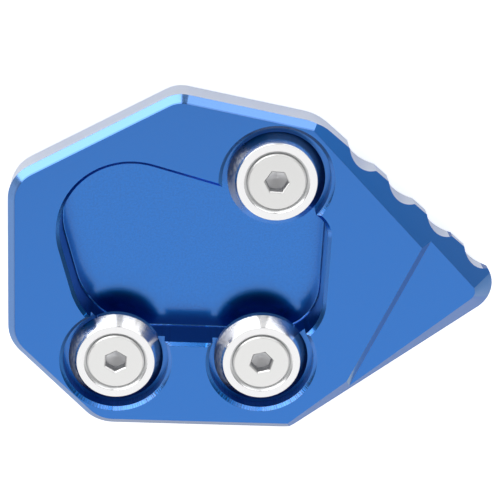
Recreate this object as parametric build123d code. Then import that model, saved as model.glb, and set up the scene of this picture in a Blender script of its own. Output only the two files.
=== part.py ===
from build123d import *
import math
import os

# All sizes are in millimetres. Places in the plan are measured from the plate's straight back edge (x)
# and its straight heel edge (y), as on a machinist's drawing. The finished pieces are then moved so
# that the origin is under the middle of the outline, on the ground face.

# Heights of the plate
plate_thickness = 13.0
wall_drop = 7.7
keel_inset = 4.0
edge_chamfer = 1.5

# Corners of the outline before they are rounded
back_top = 54.1
crown_x = 32.7
crown_y = 72.7
shoulder_x = 60.9
shoulder_y = 67.7
nose_x = 103.9
nose_y = 31.9
heel_x = 59.3
corner_cut = 18.5

# Radii of the outline's corners
back_round = 8.0
crown_round = 6.5
shoulder_round = 11.0
nose_round = 6.35
heel_round = 5.0

# Bevels of the nose: each starts this far inside its wall and widens to the centre of the nose's arc
scallop_bevel_inset = 1.75
scallop_bevel_slope = 45.0
heel_bevel_inset = 1.6
heel_bevel_slope = 43.5

# The nose's lower land, below a sloping step that crosses the plate
step_foot_x = 65.35
step_angle = 67.0
step_drop = 2.0
step_run = 1.6

# Scallops along the upper edge of the nose
scallop_count = 4
scallop_first = 12.15
scallop_pitch = 11.2
scallop_radius = 5.75
scallop_depth = 1.4

# Pocket for the foot of the stand: corners of its walls before they are rounded, and its radii
pocket_depth = 8.8
pocket_floor_round = 0.3
mouth_chamfer = 0.7
pocket_heel_y = 19.5
pocket_front_x = 64.2
pocket_back_heel_x = 16.5
pocket_front_top_y = 48.0
pocket_back_top_x = 4.0
pocket_back_top_y = 64.1
pocket_back_heel_round = 15.3
pocket_front_heel_round = 9.8
pocket_front_top_round = 5.3
pocket_back_top_round = 14.5

# Places of the three clamps, and how far each screw's socket is turned
upper_clamp_x = 53.15
upper_clamp_y = 55.6
upper_clamp_turn = -2.0
left_clamp_x = 22.15
left_clamp_y = 15.05
left_clamp_turn = 28.5
middle_clamp_x = 52.3
middle_clamp_y = 15.85
middle_clamp_turn = 16.0

# Clamp washers and the seats that they stand in
washer_radius = 9.75
washer_rim = 1.35
washer_face_radius = 8.0
washer_proud = 0.5
seat_clearance = 1.15
seat_depth = 3.3

# Countersunk screws and their tapped holes, M6
shank_radius = 3.0
screw_length = 10.0
head_radius = 5.9
head_sunk = 0.1
head_edge_break = 0.3
head_land = 0.2
head_gap = 0.05
bore_clearance = 0.3
tip_chamfer = 0.5
thread_gap = 0.03
hole_run_out = 0.8
drill_point_angle = 140.0
socket_flats = 4.05
socket_lead_in = 0.25
socket_depth = 2.2

# How far the cutting shapes reach past the surfaces that they cut
overcut = 1.0

seat_radius = washer_radius + seat_clearance
seat_height = plate_thickness - seat_depth
washer_height = seat_depth + washer_proud
head_rim_height = head_edge_break + head_land
sink_radius = head_radius + head_gap + head_sunk + head_rim_height
head_height = plate_thickness + washer_proud - head_sunk
plan_reach = nose_x + crown_y

HEEL_BACK = Vector(corner_cut, 0)
HEEL = Vector(heel_x, 0)
NOSE = Vector(nose_x, nose_y)
SHOULDER = Vector(shoulder_x, shoulder_y)
CROWN = Vector(crown_x, crown_y)
BACK_TOP = Vector(0, back_top)
BACK_HEEL = Vector(0, corner_cut)

CLAMPS = {
    "upper": (upper_clamp_x, upper_clamp_y, upper_clamp_turn),
    "left": (left_clamp_x, left_clamp_y, left_clamp_turn),
    "middle": (middle_clamp_x, middle_clamp_y, middle_clamp_turn),
}

UPRIGHT = (Align.CENTER, Align.CENTER, Align.MIN)


def slope_of(degrees):
    """Drop in height for each millimetre of run."""
    return math.tan(math.radians(degrees))


def rounded_face(corners, radii, height):
    """Closed face at a height, through the corners, each rounded to its own radius."""
    return Plane.XY.offset(height) * make_face(FilletPolyline(*corners, radius=radii, close=True))


def outline(height):
    """The plate's outline, anticlockwise from the cut corner at the heel."""
    corners = [HEEL_BACK, HEEL, NOSE, SHOULDER, CROWN, BACK_TOP, BACK_HEEL]
    radii = [back_round, heel_round, nose_round, shoulder_round, crown_round, back_round, back_round]
    return rounded_face(corners, radii, height)


def rim_outline(height):
    """The edges that carry the top chamfer. The two edges of the nose are left out, far outside."""
    far_heel = HEEL + Vector(plan_reach, 0)
    far_shoulder = SHOULDER + (SHOULDER - CROWN).normalized() * plan_reach
    corners = [HEEL_BACK, far_heel, far_shoulder, CROWN, BACK_TOP, BACK_HEEL]
    radii = [back_round, nose_round, nose_round, crown_round, back_round, back_round]
    return rounded_face(corners, radii, height)


def blank():
    """Plate blank: straight walls, an undercut bevel below them and a chamfer round the top."""
    wall_foot = plate_thickness - wall_drop
    walls = extrude(outline(wall_foot), amount=wall_drop)
    keel_taper = math.degrees(math.atan2(keel_inset, wall_foot))
    keel = extrude(outline(wall_foot), amount=wall_foot, dir=(0, 0, -1), taper=keel_taper)
    chamfer_foot = plate_thickness - edge_chamfer
    rim = extrude(rim_outline(0), amount=chamfer_foot)
    rim += extrude(rim_outline(chamfer_foot), amount=edge_chamfer, taper=45)
    return (walls + keel) & rim


def nose_centre():
    """Centre of the arc that rounds the nose, where the inner lines of both bevels meet."""
    to_shoulder = (SHOULDER - NOSE).normalized()
    to_heel = (HEEL - NOSE).normalized()
    half_angle = math.radians(to_shoulder.get_angle(to_heel) / 2)
    return NOSE + (to_shoulder + to_heel).normalized() * (nose_round / math.sin(half_angle))


def left_of(start, end):
    """Unit vector in the plan, square to a line and to its left."""
    return (end - start).normalized().rotate(Axis.Z, 90)


def falling_away(start, end, profile):
    """Cutter with one section all along a line: the section's x points to the line's left."""
    section = Plane(origin=start, x_dir=left_of(start, end), z_dir=end - start)
    return extrude(section * Polygon(*profile, align=None), amount=plan_reach, both=True)


def scallop_bevel():
    """Everything above the wide bevel that falls away towards the scalloped edge."""
    slope = slope_of(scallop_bevel_slope)
    top = plate_thickness + overcut
    profile = [(-overcut / slope, top), (plan_reach, plate_thickness - plan_reach * slope), (plan_reach, top)]
    start = SHOULDER - left_of(SHOULDER, NOSE) * scallop_bevel_inset
    return falling_away(start, nose_centre(), profile)


def heel_bevel():
    """Everything above the bevel of the nose's lower edge, which goes on round the nose as a cone."""
    slope = slope_of(heel_bevel_slope)
    top = plate_thickness + overcut
    reach = 2 * nose_round
    profile = [(0, plate_thickness), (reach, plate_thickness - reach * slope), (reach, top), (0, top)]
    centre = nose_centre()
    end = HEEL - left_of(NOSE, HEEL) * heel_bevel_inset
    out = left_of(centre, end)
    section = Plane(origin=centre, x_dir=out, z_dir=end - centre) * Polygon(*profile, align=None)
    turn = out.get_angle(left_of(SHOULDER, NOSE))
    wrap = revolve(section, Axis((centre.X, centre.Y, 0), (0, 0, 1)), turn)
    return extrude(section, amount=plan_reach) + wrap


def nose_step():
    """Cutter of the lower land at the nose and of the sloping step that leads down to it."""
    foot = Vector(step_foot_x, 0)
    head = foot + Vector(1, 0).rotate(Axis.Z, step_angle)
    profile = [
        (-step_run, plate_thickness + step_drop),
        (step_run, plate_thickness - step_drop),
        (plan_reach, plate_thickness - step_drop),
        (plan_reach, plate_thickness + step_drop),
    ]
    return falling_away(head, foot, profile)


def scallops():
    """Cutters of the scallops, upright, as an end mill leaves them."""
    along = (NOSE - SHOULDER).normalized()
    out = left_of(SHOULDER, NOSE) * (scallop_radius - scallop_depth)
    mill = Cylinder(scallop_radius, plate_thickness + 2 * overcut, align=UPRIGHT)
    centres = [SHOULDER + along * (scallop_first + i * scallop_pitch) + out for i in range(scallop_count)]
    return [Pos(centre.X, centre.Y, -overcut) * mill for centre in centres]


def pocket_outline(height):
    """The pocket's walls in the plan, anticlockwise from the back corner at the heel."""
    corners = [
        Vector(pocket_back_heel_x, pocket_heel_y),
        Vector(pocket_front_x, pocket_heel_y),
        Vector(pocket_front_x, pocket_front_top_y),
        Vector(pocket_back_top_x, pocket_back_top_y),
    ]
    radii = [pocket_back_heel_round, pocket_front_heel_round, pocket_front_top_round, pocket_back_top_round]
    return rounded_face(corners, radii, height)


def pocket():
    """Cutter of the pocket, with its rounded floor corner and its chamfered mouth."""
    body = extrude(pocket_outline(plate_thickness - pocket_depth), amount=pocket_depth + overcut)
    body = fillet(body.faces().sort_by(Axis.Z)[0].edges(), pocket_floor_round)
    mouth = pocket_outline(plate_thickness - mouth_chamfer)
    return body + extrude(mouth, amount=mouth_chamfer + overcut, taper=-45)


def drill_point(radius, floor):
    """Cone that the point of a drill leaves below the floor of its hole."""
    depth = radius / slope_of(drill_point_angle / 2)
    return Pos(0, 0, floor - depth) * Cone(0, radius, depth, align=UPRIGHT)


def seat():
    """Cutter of one washer seat with its chamfered mouth, and of the tapped hole under it."""
    flare = mouth_chamfer + overcut
    hole_radius = shank_radius + thread_gap
    hole_floor = head_height - screw_length - hole_run_out
    well = Pos(0, 0, seat_height) * Cylinder(seat_radius, seat_depth + overcut, align=UPRIGHT)
    mouth_cone = Cone(seat_radius, seat_radius + flare, flare, align=UPRIGHT)
    mouth = Pos(0, 0, plate_thickness - mouth_chamfer) * mouth_cone
    hole = Pos(0, 0, hole_floor) * Cylinder(hole_radius, plate_thickness - hole_floor, align=UPRIGHT)
    return well + mouth + hole + drill_point(hole_radius, hole_floor)


def base_plate():
    """The whole plate, milled from one piece of bar."""
    plate = blank() - nose_step() - heel_bevel() - scallop_bevel()
    plate -= scallops()
    plate -= pocket()
    return plate - [Pos(x, y, 0) * seat() for x, y, _ in CLAMPS.values()]


def turned(profile):
    """Solid turned about Z from a profile of radii and heights."""
    return revolve(Plane.XZ * Polygon(*profile, align=None), Axis.Z)


def clamp_washer():
    """Conical clamp washer with a countersunk bore. It stands on the origin."""
    bore = shank_radius + bore_clearance
    return turned([
        (bore, 0),
        (washer_radius, 0),
        (washer_radius, washer_rim),
        (washer_face_radius, washer_height),
        (sink_radius, washer_height),
        (bore, washer_height - (sink_radius - bore)),
    ])


def clamp_screw(turn):
    """Countersunk screw with a hexagon socket. The head's face is at the origin."""
    body = turned([
        (0, 0),
        (head_radius - head_edge_break, 0),
        (head_radius, -head_edge_break),
        (head_radius, -head_rim_height),
        (shank_radius, shank_radius - head_radius - head_rim_height),
        (shank_radius, tip_chamfer - screw_length),
        (shank_radius - tip_chamfer, -screw_length),
        (0, -screw_length),
    ])
    mouth_apothem = socket_flats / 2 + socket_lead_in
    mouth = RegularPolygon(mouth_apothem, 6, major_radius=False, rotation=turn)
    socket = RegularPolygon(socket_flats / 2, 6, major_radius=False, rotation=turn)
    body -= extrude(mouth, amount=socket_lead_in, dir=(0, 0, -1), taper=45)
    body -= extrude(socket, amount=socket_depth, dir=(0, 0, -1))
    return body - drill_point(socket_flats / 2, -socket_depth)


def main():
    os.makedirs("parts", exist_ok=True)
    middle = outline(0).bounding_box().center()
    pieces = {"base_plate": Pos(-middle.X, -middle.Y, 0) * base_plate()}
    for name, (x, y, turn) in CLAMPS.items():
        axis = Pos(x - middle.X, y - middle.Y, 0)
        pieces[f"{name}_clamp_washer"] = axis * Pos(0, 0, seat_height) * clamp_washer()
        pieces[f"{name}_clamp_screw"] = axis * Pos(0, 0, head_height) * clamp_screw(turn)
    for name, piece in pieces.items():
        export_step(piece, f"parts/{name}.step")


main()
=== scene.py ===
# %% [markdown]
# A side stand's foot is small and sinks into soft ground. This part makes it larger: a milled aluminium
# plate takes the foot in its pocket, and three conical washers, pulled down by countersunk screws, clamp
# its edge. The solids are already exact, so this lesson never moves or reshapes them. It gives each one
# the finish that the real one gets on its way through the workshop, with some painted highlights, painted
# reflections and painted shade in their colours, and then builds a small photo studio.

# %% Load the imported model
import math

import bpy
from mathutils import Matrix, Vector

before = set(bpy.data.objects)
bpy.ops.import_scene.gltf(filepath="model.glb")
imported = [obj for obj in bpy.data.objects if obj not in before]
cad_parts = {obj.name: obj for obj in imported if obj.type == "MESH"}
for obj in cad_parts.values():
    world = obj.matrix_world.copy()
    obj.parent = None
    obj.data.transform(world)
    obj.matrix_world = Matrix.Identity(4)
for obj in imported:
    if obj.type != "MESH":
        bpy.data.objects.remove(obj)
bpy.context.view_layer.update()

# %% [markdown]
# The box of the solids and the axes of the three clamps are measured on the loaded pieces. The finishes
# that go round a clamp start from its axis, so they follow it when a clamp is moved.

MM = 0.001
CLAMPS = ("upper_clamp", "left_clamp", "middle_clamp")


def reach_of(name, axis):
    """Lowest and highest coordinate of a CAD piece along one axis, in mm."""
    values = [corner.co[axis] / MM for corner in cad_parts[name].data.vertices]
    return min(values), max(values)


clamp_axes = [[sum(reach_of(f"{clamp}_washer", axis)) / 2 for axis in (0, 1)] for clamp in CLAMPS]
print("clamp axes in mm:", [[round(value, 2) for value in axis] for axis in clamp_axes])

# %% [markdown]
# The photograph looks down on the plate from its far long side, and the picture is turned so that the
# nose points right. A camera is a place, the point that it looks at and the direction that is up in the
# picture. Blender wants them as one matrix, whose columns are the camera's right, up and back.

# %% The camera
CAMERA_PLACE = Vector((-20.07, 124.25, 305.8)) * MM
CAMERA_TARGET = Vector((-1.38, 4.78, 13.4)) * MM
PICTURE_UP = Vector((-0.0341, 0.9243, -0.3801))
FOCAL_PIXELS = 1573.9
PICTURE_PIXELS = 500
SENSOR = 36.0
NEAREST_SEEN = 10 * MM


def looking_at(place, target, up):
    """Matrix of something at place that looks at target, with up as its upward direction."""
    back = (place - target).normalized()
    right = up.cross(back).normalized()
    turned = Matrix((right, back.cross(right), back)).transposed().to_4x4()
    return Matrix.Translation(place) @ turned


camera_data = bpy.data.cameras.new("camera")
camera_data.sensor_width = SENSOR
camera_data.lens = FOCAL_PIXELS * SENSOR / PICTURE_PIXELS
camera_data.clip_start = NEAREST_SEEN
camera = bpy.data.objects.new("camera", camera_data)
camera.matrix_world = looking_at(CAMERA_PLACE, CAMERA_TARGET, PICTURE_UP)
bpy.context.scene.collection.objects.link(camera)
bpy.context.scene.camera = camera
print("lens in mm:", round(camera_data.lens, 1))

# %% [markdown]
# A finish is a recipe of small sums: a mask here, a wave there. Written as nodes they are hard to read, so
# this class wraps one output socket and turns Python's own arithmetic into Math nodes.

# %% Sums on sockets


class Wire:
    """One output socket of a recipe. Arithmetic on it adds Math nodes."""

    def __init__(self, recipe, socket):
        self.recipe = recipe
        self.socket = socket

    def sum(self, operation, *values):
        return self.recipe.node("ShaderNodeMath", {"operation": operation}, dict(enumerate(values)))

    def __add__(self, other):
        return self.sum("ADD", self, other)

    def __sub__(self, other):
        return self.sum("SUBTRACT", self, other)

    def __rsub__(self, other):
        return self.sum("SUBTRACT", other, self)

    def __mul__(self, other):
        return self.sum("MULTIPLY", self, other)

    def __pow__(self, other):
        return self.sum("POWER", self, other)

    __radd__ = __add__
    __rmul__ = __mul__

    def least(self, other):
        return self.sum("MINIMUM", self, other)

    def most(self, other):
        return self.sum("MAXIMUM", self, other)

    def rising(self, low, high):
        """0 below low, 1 above high, and a smooth step between them."""
        return self.recipe.node(
            "ShaderNodeMapRange", {"interpolation_type": "SMOOTHSTEP"}, {0: self, 1: low, 2: high}
        )

    def between(self, low, high, soft):
        """1 from low to high, fading to 0 over a soft edge outside them."""
        return self.rising(low - soft, low) * (1 - self.rising(high, high + soft))


# %% [markdown]
# The second helper owns a node tree. Its one method adds any node: the settings first, because some of
# them change which sockets the node has, and then the sockets, each with a plain value or a wire.

# %% Recipes


class Recipe:
    """A node tree, with a method that adds nodes to it."""

    def __init__(self, tree):
        self.tree = tree

    def node(self, kind, settings, values, output=0):
        made = self.tree.nodes.new(kind)
        for name, value in settings.items():
            setattr(made, name, value)
        for socket, value in values.items():
            if isinstance(value, Wire):
                self.tree.links.new(value.socket, made.inputs[socket])
            else:
                made.inputs[socket].default_value = value
        return Wire(self, made.outputs[output])

    def split(self, vector):
        """The x, y and z of a vector wire."""
        return [self.node("ShaderNodeSeparateXYZ", {}, {0: vector}, output=axis) for axis in "XYZ"]

    def ray(self, kind):
        """1 for a ray of this kind: Camera, Glossy, Transmission."""
        return self.node("ShaderNodeLightPath", {}, {}, output=f"Is {kind} Ray")


# %% [markdown]
# A finish is a recipe whose tree belongs to a material. It reads places in millimetres of the object, so
# that a grain or a ring has its real size and stays where it is when the object is seen from another side.

# %% Finishes
NOISE_DETAIL = 2.0
BEVEL_SAMPLES = 6


class Finish(Recipe):
    """A material and its shader."""

    def __init__(self, name, constants):
        self.material = bpy.data.materials.new(name)
        self.material.use_nodes = True
        super().__init__(self.material.node_tree)
        self.shader = self.tree.nodes["Principled BSDF"]
        self.surface = self.tree.nodes["Material Output"].inputs["Surface"]
        for socket, value in constants.items():
            self.shader.inputs[socket].default_value = value
        place = self.node("ShaderNodeTexCoord", {}, {}, output="Object")
        self.place = self.node(
            "ShaderNodeVectorMath", {"operation": "SCALE"}, {0: place, "Scale": 1 / MM}
        )

    def noise(self, grains_per_mm, detail=NOISE_DETAIL):
        """Noise from 0 to 1, in millimetres of the piece."""
        values = {"Vector": self.place, "Scale": grains_per_mm, "Detail": detail}
        return self.node("ShaderNodeTexNoise", {}, values)

    def streaks(self, along, marks_per_mm):
        """Noise from 0 to 1 that changes only along one wire, as a tool's marks do."""
        values = {"W": along, "Scale": marks_per_mm, "Detail": NOISE_DETAIL}
        return self.node("ShaderNodeTexNoise", {"noise_dimensions": "1D"}, values)

    def mix(self, plain, other, mask):
        """The plain colour where the mask is 0, and the other one where it is 1."""
        # Of a Mix node's many sockets, the two colours are 6 and 7, and the mixed one comes out at 2.
        return self.node("ShaderNodeMix", {"data_type": "RGBA"}, {0: mask, 6: plain, 7: other}, output=2)

    def wear(self, socket, wire):
        """Drives one of the shader's own sockets."""
        self.tree.links.new(wire.socket, self.shader.inputs[socket])

    def relief(self, height, depth_mm, edge_mm):
        """Bump from a height wire, 1 of which is this deep, on edges rounded by a deburring tool."""
        rounded = self.node("ShaderNodeBevel", {"samples": BEVEL_SAMPLES}, {"Radius": edge_mm * MM})
        bump = {"Height": height, "Distance": depth_mm * MM, "Normal": rounded}
        self.wear("Normal", self.node("ShaderNodeBump", {}, bump))

    def dress(self, *names):
        """Puts the finish on CAD pieces."""
        for name in names:
            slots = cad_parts[name].data.materials
            slots.clear()
            slots.append(self.material)
        print(self.material.name, "with", len(self.tree.nodes), "nodes, on", ", ".join(names))


# %% [markdown]
# Much of this part is round about its three clamps: the seats, the washers and the marks that the milling
# cutter left. So both finishes of those pieces start from the distance to the nearest clamp's axis and
# the angle about it. The angle is needed only near a clamp, and is 0 elsewhere.

# %% Distance and angle about the clamps
NEAR_A_CLAMP = (12.5, 12.6)


def about_clamps(finish):
    """Distance in mm from the axis of the nearest clamp, and the angle about it in radians, as wires."""
    x, y, _ = finish.split(finish.place)
    nearest = turn = None
    for axis_x, axis_y in clamp_axes:
        dx, dy = x - axis_x, y - axis_y
        away = (dx * dx + dy * dy) ** 0.5
        here = dy.sum("ARCTAN2", dy, dx) * (1 - away.rising(*NEAR_A_CLAMP))
        nearest = away if nearest is None else nearest.least(away)
        turn = here if turn is None else turn + here
    return nearest, turn


# %% [markdown]
# A picture stores its colours as 0 to 255, on a scale that suits the eye. A shader counts light itself, so
# each value is first turned into a share of full light.

# %% Colours


def colour(red, green, blue):
    """Linear colour from the 0 to 255 values of a picture."""
    def linear(value):
        share = value / 255
        return share / 12.92 if share <= 0.04045 else ((share + 0.055) / 1.055) ** 2.4
    return (linear(red), linear(green), linear(blue), 1.0)


# %% [markdown]
# Anodised aluminium is bare metal under a clear, glassy oxide that holds the dye. So the metal is fully
# metallic and blue, and the oxide is the shader's coat: colourless, and stronger towards grazing view.
#
# The plate has one dye, but its surfaces are cut in different ways, and a plain studio gives metal less to
# mirror than a photographer's does. So each kind of surface gets a blue of its own, and most of these blues
# are painted light: painted highlights, painted reflections and painted shade. It belongs to the surface
# and not to the view, and so it stays when the camera moves.

# %% The blues of the plate
FACE_BLUE = colour(14, 111, 200)
FLOOR_BLUE = colour(10, 113, 203)
GRAIN_BLUE = colour(8, 98, 182)
CUT_AND_HIGHLIGHT_BLUE = colour(93, 145, 214)
NEAR_SHADE_BLUE = colour(77, 121, 184)
BAND_SHADE_BLUE = colour(50, 112, 190)
STEP_REFLECTION_BLUE = colour(92, 146, 196)
MARKS_AND_SHADE_BLUE = colour(8, 88, 165)
PALE_WALL_REFLECTION_BLUE = colour(70, 128, 208)
OXIDE = {"Metallic": 1.0, "Coat Weight": 1.0, "Coat Roughness": 0.12, "Coat IOR": 1.55}
anodised = Finish("anodised_plate", OXIDE)
print("linear colour of the face:", [round(value, 3) for value in FACE_BLUE[:3]])

# %% [markdown]
# A mask can be worked out from what every point of a surface knows: where it lies, and which way it faces.
# The x, y and z of that direction are called across, along and tilt here. Tilt is 1 on level faces, 0 on
# upright walls and about 0.7 on a 45 degree chamfer, and across is positive on what faces the nose.

# %% Masks by the way a surface faces
LEVEL = (0.9, 0.98)
UPRIGHT = (0.02, 0.06)  # of the tilt squared, so that undercut faces don't count
CHAMFER_TILT = (0.45, 0.85, 0.05)
STEP_TILT = (0.55, 0.7, 0.05)
STEP_FACING = (0.6, 0.65)
TO_THE_NOSE = (0.2, 0.3)
TURNED_THAT_WAY = (0.1, 0.4)
NEAR_SHADE_FACING = (-0.65, -0.5)

x, y, z = anodised.split(anodised.place)
across, along, tilt = anodised.split(anodised.node("ShaderNodeNewGeometry", {}, {}, output="Normal"))
level = tilt.rising(*LEVEL)
upright = 1 - (tilt * tilt).rising(*UPRIGHT)
bevelled = tilt.between(*CHAMFER_TILT)
step = tilt.between(*STEP_TILT) * across.rising(*STEP_FACING)
shaded_near_edge = 1 - along.rising(*NEAR_SHADE_FACING)
print("nodes after the masks by direction:", len(anodised.tree.nodes))

# %% [markdown]
# An outer wall and a wall of the pocket can face the same way. They are told apart by how far out they lie
# in the direction that they face: that is large and positive on the outer walls, and small or negative
# on walls that look into the plate. The walls of the seats are known by their distance from the clamps.

# %% Masks by the place of a surface, in mm
OUTER_WALL = (11.0, 12.0)
OUTER_CUT = (19.0, 20.0)
SEAT_MOUTH = (11.8, 12.2)
POCKET_FLOOR = (4.6, 5.0)
BAND = (0.2, 0.26)

plate_top = reach_of("base_plate", 2)[1]
seat_distance, seat_turn = about_clamps(anodised)
in_seat = 1 - seat_distance.rising(*SEAT_MOUTH)
outward = x * across + y * along
outer_share = outward.rising(*OUTER_WALL) * seat_distance.rising(*SEAT_MOUTH)
outer_wall = upright * outer_share
inner_wall = upright * (1 - outer_share)
outer_cut = outward.rising(*OUTER_CUT)
rim_cut = bevelled * outer_cut * (1 - across.rising(*TO_THE_NOSE))
mouth_cut = bevelled * (1 - outer_cut)
rim_shade_band = rim_cut * z.rising(plate_top - BAND[1], plate_top - BAND[0])
seat_mouth = mouth_cut * in_seat * along.rising(*TURNED_THAT_WAY)
floor_share = 1 - z.rising(*POCKET_FLOOR)
milled = inner_wall * in_seat + seat_mouth
print("plate top in mm:", round(plate_top, 2))
print("nodes after the masks by place:", len(anodised.tree.nodes))

# %% [markdown]
# The colour is built up in layers, as paint is: each one covers those below it where its mask is 1. The
# outer chamfer looks as if it was cut last, with a fine tool, and it is painted brighter than the even face
# as a painted highlight. A darker band is painted at its inner edge in place of a small facet's reflection,
# and painted shade darkens it along the near edge of the plate. The pocket's floor has a fine grain. In the
# seats the cutter left streaks, which run straight down the wall, so they change only with the angle about
# the clamp. The step and the outer walls get a paler blue as a painted reflection, and the pocket's inner
# walls get painted shade. In the pocket, the walls and chamfers that face the nose get more painted shade:
# a deep blue, and less of their coat.

# %% Colour of the plate
GRAINS_PER_MM = 2.6
GRAIN_DETAIL = 3.0
GRAIN_SEEN = (0.35, 0.7)
GRAIN_STRENGTH = 0.6
SEAT_RADIUS = 10.9
MARKS_PER_MM = 2.8
MARKS_SEEN = (0.45, 0.6)
MARKS_STRENGTH = 0.6
BAND_SHADE_STRENGTH = 0.7
INNER_WALL_SHADE_STRENGTH = 0.5
MOUTH_HIGHLIGHT_SHARE = 0.4
NOSE_SIDE_SHADE_MOUTH_SHARE = 0.8

grain = anodised.noise(GRAINS_PER_MM, GRAIN_DETAIL)
tool_marks = anodised.streaks(seat_turn * SEAT_RADIUS, MARKS_PER_MM)
# Painted shade on the pocket's walls and chamfers that face the nose: a deep blue, and less of the coat.
nose_side_shade = (mouth_cut * NOSE_SIDE_SHADE_MOUTH_SHARE + inner_wall) * across.rising(*TURNED_THAT_WAY)
layers = (
    (FLOOR_BLUE, floor_share),
    (GRAIN_BLUE, grain.rising(*GRAIN_SEEN) * floor_share * GRAIN_STRENGTH),
    # The outer chamfers are a paler blue, partly for their bright cut and partly as a painted highlight;
    # the seats' mouths that face one way get some of it as a painted highlight.
    (CUT_AND_HIGHLIGHT_BLUE, rim_cut + seat_mouth * MOUTH_HIGHLIGHT_SHARE),
    # Painted shade on the outer chamfers along the near edge.
    (NEAR_SHADE_BLUE, rim_cut * shaded_near_edge),
    # A darker band painted at the chamfer's inner edge, in place of a small facet's reflection.
    (BAND_SHADE_BLUE, rim_shade_band * BAND_SHADE_STRENGTH),
    # The step is painted paler, as a painted reflection.
    (STEP_REFLECTION_BLUE, step),
    # Painted shade on the pocket's inner walls.
    (MARKS_AND_SHADE_BLUE, inner_wall * INNER_WALL_SHADE_STRENGTH),
    (MARKS_AND_SHADE_BLUE, tool_marks.rising(*MARKS_SEEN) * milled * MARKS_STRENGTH),
    # The outer walls are painted a paler blue, as a painted reflection.
    (PALE_WALL_REFLECTION_BLUE, outer_wall),
    (MARKS_AND_SHADE_BLUE, nose_side_shade),
)
blue = FACE_BLUE
for layer_blue, mask in layers:
    blue = anodised.mix(blue, layer_blue, mask)
anodised.wear("Base Color", blue)
anodised.wear("Coat Weight", 1 - nose_side_shade)
print("layers of blue:", len(layers))

# %% [markdown]
# The grain and the tool's marks can be felt as well as seen, so they are in the bump too. The bump starts
# from a Bevel node, which bends the light at the edges as if they had a small round.

# %% Roughness and relief of the plate
FACE_ROUGHNESS = 0.3
CUT_SMOOTHER = 0.14
FLOOR_SMOOTHER = 0.08
UNEVEN_PER_MM = 3.0
UNEVEN = 0.05
GRAIN_HEIGHT = 0.08
MARKS_DEPTH_MM = 0.1
DEBURRED_MM = 0.1

smoother = (rim_cut + mouth_cut) * CUT_SMOOTHER + floor_share * FLOOR_SMOOTHER
uneven = anodised.noise(UNEVEN_PER_MM) * UNEVEN
anodised.wear("Roughness", FACE_ROUGHNESS - smoother + uneven)
anodised.relief(grain * level * GRAIN_HEIGHT + tool_marks * milled, MARKS_DEPTH_MM, DEBURRED_MM)
print("roughness of face and chamfer:", FACE_ROUGHNESS, round(FACE_ROUGHNESS - CUT_SMOOTHER, 2))

# %% [markdown]
# The steep outer walls have a white glare where they are seen at a grazing angle. A plain glossy shader is
# mixed in there by the angle between the surface and the view, as Layer Weight gives it. It is a little
# weaker on walls that face the nose.

# %% Glare on the outer walls
GLARE = {"Color": colour(244, 248, 255), "Roughness": 0.3}
GRAZING = (0.3, 0.75)
GLARE_SHARE = 0.95
GLARE_LOST = 0.3
GLARE_LOST_OVER = (0, 0.7)

facing = anodised.node("ShaderNodeLayerWeight", {}, {"Blend": 0.5}, output="Facing")
glare = anodised.node("ShaderNodeBsdfGlossy", {}, GLARE)
metal = Wire(anodised, anodised.shader.outputs[0])
glare_share = GLARE_SHARE - across.rising(*GLARE_LOST_OVER) * GLARE_LOST
share = facing.rising(*GRAZING) * outer_wall * glare_share
glazed = anodised.node("ShaderNodeMixShader", {}, {0: share, 1: metal, 2: glare})
anodised.tree.links.new(glazed.socket, anodised.surface)
anodised.dress("base_plate")

# %% [markdown]
# The washers are turned and polished, so they are almost mirrors, with fine rings that spread a reflection
# along the radius. Polishing could also roll the cone off towards its foot. A bump that falls with the
# distance from the axis tilts the mirrored picture in that way, twice as much on the upper washer. The
# flank away from the nose is rubbed rougher in patches. The countersink is rougher than the ring round it,
# and is painted a shade darker, as painted shade in its groove.

# %% The washers
BRIGHT_STEEL = {"Metallic": 1.0, "Base Color": colour(240, 240, 241)}
SINK_SHADE_STEEL = colour(236, 237, 238)
SINK_EDGE = (6.4, 6.5)
CONE_TOP = 8.1
CONE_ROLL = 0.045
ROLL_GROWS_OVER = (0, 5)
RINGS_PER_MM = 9.0
RING_HEIGHT = 0.004
ONE_MM = 1.0
CONE_EDGE_MM = 0.12
POLISHED_ROUGHNESS = 0.16
SINK_ROUGHER = 0.25
RUBBED_ROUGHER = 0.36
RUBBED_FLANK = (4.6, 7.0)  # squares of the angle in radians, so that it counts on both sides
RUBBED_FROM = (CONE_TOP, 8.6)
PATCHES_PER_MM = 2.0
PATCH_DETAIL = 3.0
PATCH = (0.4, 0.6)
PATCH_SHARE = 0.4

polished = Finish("polished_washer", BRIGHT_STEEL)
distance, turn = about_clamps(polished)
countersink = 1 - distance.rising(*SINK_EDGE)
# The countersink is painted a shade darker than the ring, as painted shade in its groove.
polished.wear("Base Color", polished.mix(BRIGHT_STEEL["Base Color"], SINK_SHADE_STEEL, countersink))
rings = polished.streaks(distance, RINGS_PER_MM)
_, y, _ = polished.split(polished.place)
rolled = (distance - CONE_TOP).most(0) * (CONE_ROLL + y.rising(*ROLL_GROWS_OVER) * CONE_ROLL)
polished.relief(rings * RING_HEIGHT - rolled, ONE_MM, CONE_EDGE_MM)
patches = polished.noise(PATCHES_PER_MM, PATCH_DETAIL).rising(*PATCH)
flank = (turn * turn).rising(*RUBBED_FLANK) * distance.rising(*RUBBED_FROM)
rubbed = flank * (1 - PATCH_SHARE + patches * PATCH_SHARE)
roughness = POLISHED_ROUGHNESS + countersink * SINK_ROUGHER + rubbed * RUBBED_ROUGHER
polished.wear("Roughness", roughness)
polished.dress(*[f"{clamp}_washer" for clamp in CLAMPS])

# %% [markdown]
# The screws are plated, so their heads are even and satin. The hexagon socket is punched, and both its
# walls and its floor are rougher. Its walls are painted darker, as painted shade for the light that is lost
# between them, and its floor is painted a little lighter than the head, as a painted highlight.

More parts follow.
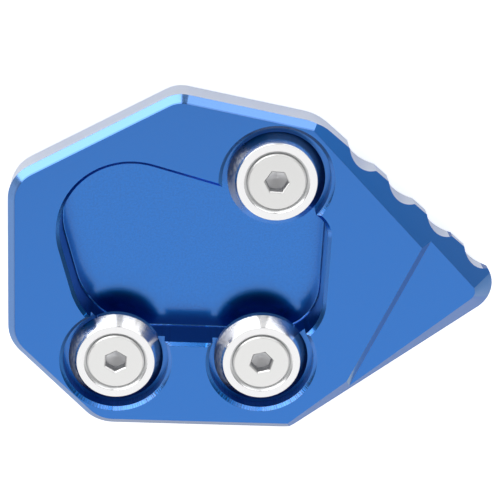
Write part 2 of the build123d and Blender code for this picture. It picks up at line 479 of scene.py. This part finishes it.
# %% The screws
HEAD_STEEL = colour(233, 233, 232)
SOCKET_FLOOR_HIGHLIGHT_STEEL = colour(238, 238, 240)
SOCKET_WALL_SHADE = colour(190, 191, 194)
SOCKET_DEPTH = (0.35, 0.5)
SOCKET_FLOOR_TILT = (0.3, 0.6)
PLATED_ROUGHNESS = 0.34
SOCKET_ROUGHER = 0.12
PLATING_PER_MM = 5.0
PLATING_DETAIL = 3.0
PLATING_DEPTH_MM = 0.004
HEAD_EDGE_MM = 0.12

head_top = reach_of("upper_clamp_screw", 2)[1]
print("top of a screw's head in mm:", round(head_top, 2))
plated = Finish("plated_screw", {"Metallic": 1.0})
_, _, z = plated.split(plated.place)
_, _, tilt = plated.split(plated.node("ShaderNodeNewGeometry", {}, {}, output="Normal"))
deep = 1 - z.rising(head_top - SOCKET_DEPTH[1], head_top - SOCKET_DEPTH[0])
# Painted shade on the socket's walls, and a painted highlight that makes its floor a little lighter than
# the head.
socket_wall_shade = deep * (1 - tilt.rising(*SOCKET_FLOOR_TILT))
grey = plated.mix(HEAD_STEEL, SOCKET_FLOOR_HIGHLIGHT_STEEL, deep)
plated.wear("Base Color", plated.mix(grey, SOCKET_WALL_SHADE, socket_wall_shade))
plated.wear("Roughness", PLATED_ROUGHNESS + deep * SOCKET_ROUGHER)
plated.relief(plated.noise(PLATING_PER_MM, PLATING_DETAIL), PLATING_DEPTH_MM, HEAD_EDGE_MM)
plated.dress(*[f"{clamp}_screw" for clamp in CLAMPS])

# %% [markdown]
# The studio has a pale, matt floor. It would be grey beside a white background, so it also glows: for the
# camera, and less for what the metal mirrors. No other ray sees the glow, so it doesn't wash out the
# object's shadow, which stays on the floor.

# %% The floor
FLOOR_HALF = 3.0
FLOOR_TINT = (0.9, 0.9, 0.9, 1)
WHITE = (1, 1, 1, 1)
SEEN_GLOW = 0.66
MIRRORED_GLOW = 0.13


def pale_surface(name, tint):
    """Matt surface that the camera sees as almost white, and that reflections see a little darker."""
    surface = Finish(name, {})
    mirrored = surface.ray("Glossy").most(surface.ray("Transmission"))
    glow = surface.ray("Camera") * SEEN_GLOW + mirrored * MIRRORED_GLOW
    matt = surface.node("ShaderNodeBsdfDiffuse", {}, {"Color": tint})
    white = surface.node("ShaderNodeEmission", {}, {"Color": WHITE, "Strength": glow})
    both = surface.node("ShaderNodeAddShader", {}, {0: matt, 1: white})
    surface.tree.links.new(both.socket, surface.surface)
    return surface.material


bpy.ops.mesh.primitive_plane_add(size=2 * FLOOR_HALF)
floor = bpy.context.object
floor.name = "floor"
floor.data.materials.append(pale_surface("pale_floor", FLOOR_TINT))
print("floor in m:", [round(side, 2) for side in floor.dimensions[:2]])

# %% [markdown]
# Metal shows its surroundings more than its own colour, so each lamp is placed by what mirrors it: the soft
# box overhead by the level faces, and the two low panels behind the plate by the chamfers and cones at the
# far side. The dark gap between the panels is what draws a grey stripe on each cone.

# %% The lights


def soft_box(name, azimuth, elevation, distance, width, height, level):
    """Area light that glows at a level of 1 for white, seen from the plate at these angles in degrees."""
    turn = math.radians(azimuth)
    rise = math.radians(elevation)
    away = Vector((math.cos(turn) * math.cos(rise), math.sin(turn) * math.cos(rise), math.sin(rise)))
    lamp = bpy.data.lights.new(name, "AREA")
    lamp.shape = "RECTANGLE"
    lamp.size = width
    lamp.size_y = height
    lamp.energy = level * math.pi * width * height
    holder = bpy.data.objects.new(name, lamp)
    holder.matrix_world = looking_at(away * distance, Vector((0, 0, 0)), Vector((0, 0, 1)))
    holder.visible_camera = False
    bpy.context.scene.collection.objects.link(holder)
    print(name, "in W:", round(lamp.energy, 2))


soft_box("overhead_box", azimuth=-81, elevation=60, distance=0.9, width=1.0, height=0.78, level=0.74)
soft_box("left_panel", azimuth=127, elevation=19, distance=0.8, width=1.03, height=0.54, level=2.5)
soft_box("right_panel", azimuth=59, elevation=19, distance=0.8, width=0.65, height=0.54, level=1.35)

# %% [markdown]
# The room fills what the lamps leave. It is bright in front, dim behind and overhead, and has a pale haze
# along the horizon. The world also shines through an area light, so the light above the plate is the sum
# of the box and the zenith: when one goes up, the other comes down. The camera itself sees plain white.

# %% The room
ZENITH = 0.3
LEFT_SIDE = 0.2
RIGHT_SIDE = 0.25
FRONT_SIDE = 0.9
HAZE = 0.7
LEFT_TO_RIGHT = (-0.2, 0.6)
FRONT_TO_BACK = (-0.6, -0.2)
WALL_TO_ZENITH = (0.5, 0.85)
HAZE_TOP = (0.05, 0.16)

world = bpy.data.worlds.new("studio")
bpy.context.scene.world = world
world.use_nodes = True
room = Recipe(world.node_tree)
direction = room.node("ShaderNodeTexCoord", {}, {}, output="Generated")
side, depth, rise = room.split(direction)
behind = LEFT_SIDE + side.rising(*LEFT_TO_RIGHT) * (RIGHT_SIDE - LEFT_SIDE)
front_share = 1 - depth.rising(*FRONT_TO_BACK)
wall = behind * (1 - front_share) + FRONT_SIDE * front_share
height = rise.rising(*WALL_TO_ZENITH)
haze = HAZE * (1 - rise.rising(*HAZE_TOP))
brightness = (wall * (1 - height) + ZENITH * height + haze).most(room.ray("Camera"))
background = world.node_tree.nodes["Background"]
room.tree.links.new(brightness.socket, background.inputs["Strength"])
background.inputs["Color"].default_value = WHITE

bpy.context.scene.view_settings.view_transform = "Standard"
print("nodes in the room:", len(room.tree.nodes))
